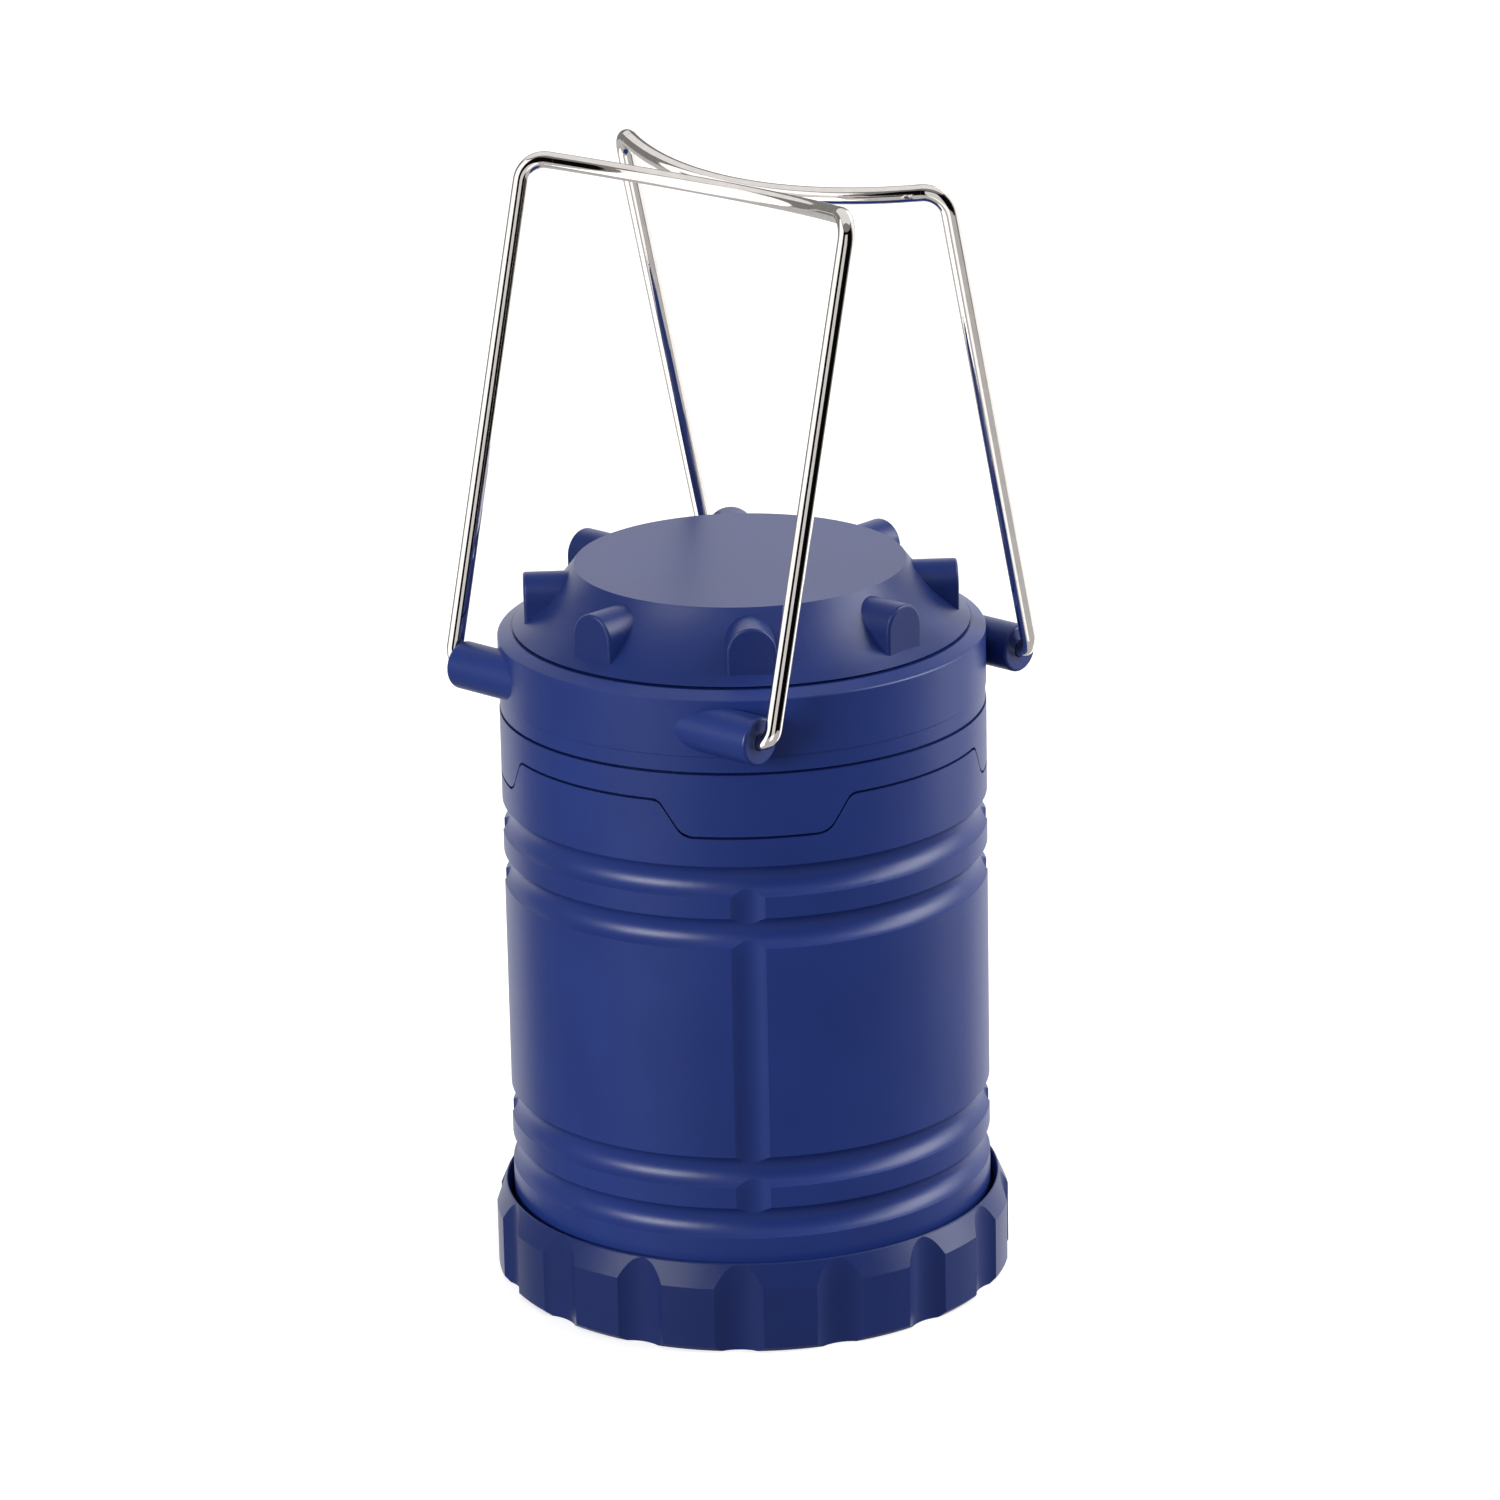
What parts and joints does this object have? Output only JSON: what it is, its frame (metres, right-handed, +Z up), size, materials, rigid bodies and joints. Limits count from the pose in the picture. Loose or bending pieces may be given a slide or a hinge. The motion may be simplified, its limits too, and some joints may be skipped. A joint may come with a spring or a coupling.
{
  "type": "camping lantern",
  "caption": "Pop-up battery camping lantern: fluted twist-off base, grooved body, lifting head with a clear lens over a light mast, and two folding wire bails.",
  "frame": {"origin": "on the lantern's axis, in the plane it stands on", "axes": "+Z up along the axis; +X and +Y through the middles of two neighbouring tabs of the skirt; the bails' hinge axes run at -45 degrees, along +X-Y"},
  "size_m": [0.099, 0.099, 0.192],
  "materials": {
    "shell_plastic": "satin, finely grained",
    "dark_plastic": "satin",
    "screw_steel": "bright",
    "cell_can": "printed sleeve",
    "contact_metal": "bright",
    "white_plastic": "satin",
    "reflector": "metallised",
    "light_board": "white lacquer",
    "light_chip": "gloss",
    "circuit_board": "satin",
    "red_plastic": "gloss",
    "lead_sleeve": "matt",
    "seal_rubber": "matt",
    "clear_lens": "clear, gloss",
    "bail_wire": "polished"
  },
  "bodies": {
    "body": {"body_shell": "shell_plastic", "stop_ring": "shell_plastic", "battery_holder": "dark_plastic", "holder_screws": "screw_steel", "cell_1": "cell_can", "cell_2": "cell_can", "cell_3": "cell_can", "upper_contacts": "contact_metal", "return_strip": "contact_metal", "contact_carrier": "dark_plastic", "lower_contacts": "contact_metal", "contact_springs": "contact_metal", "led_mast": "white_plastic", "mast_screws": "screw_steel", "lower_reflector": "reflector", "led_board_1": "light_board", "led_board_2": "light_board", "led_board_3": "light_board", "led_board_4": "light_board", "led_board_5": "light_board", "led_board_6": "light_board", "led_chips": "light_chip", "switch_board": "circuit_board", "switch_housing": "dark_plastic", "battery_leads": "lead_sleeve"},
    "base": {"base_cap": "shell_plastic", "base_seal": "seal_rubber", "carrier_screw": "screw_steel"},
    "head": {"top_cap": "shell_plastic", "collar": "shell_plastic", "skirt": "shell_plastic", "lens_tube": "clear_lens", "top_reflector": "reflector", "head_screws": "screw_steel"},
    "plunger": {"switch_plunger": "red_plastic"},
    "left_bail": {"bail_left": "bail_wire"},
    "right_bail": {"bail_right": "bail_wire"}
  },
  "joints": [
    {"name": "base_turn", "type": "hinge", "parent": "body", "child": "base", "pos_m": [0, 0, 0.005], "axis": [0, 0, -1], "range_deg": [0, 35]},
    {"name": "head_lift", "type": "slide", "parent": "body", "child": "head", "axis": [0, 0, 1], "range_m": [0, 0.06]},
    {"name": "plunger_press", "type": "slide", "parent": "body", "child": "plunger", "axis": [0, 0, 1], "range_m": [0, 0.0015]},
    {"name": "left_bail_fold", "type": "hinge", "parent": "head", "child": "left_bail", "pos_m": [-0.02305, -0.02305, 0.108], "axis": [0.7071, -0.7071, 0], "range_deg": [0, 194.1]},
    {"name": "right_bail_fold", "type": "hinge", "parent": "head", "child": "right_bail", "pos_m": [0.02305, 0.02305, 0.108], "axis": [-0.7071, 0.7071, 0], "range_deg": [0, 194.1]}
  ],
  "couplings": [
    {"joint": "plunger_press", "follows": "head_lift", "ratio": 0.02}
  ]
}
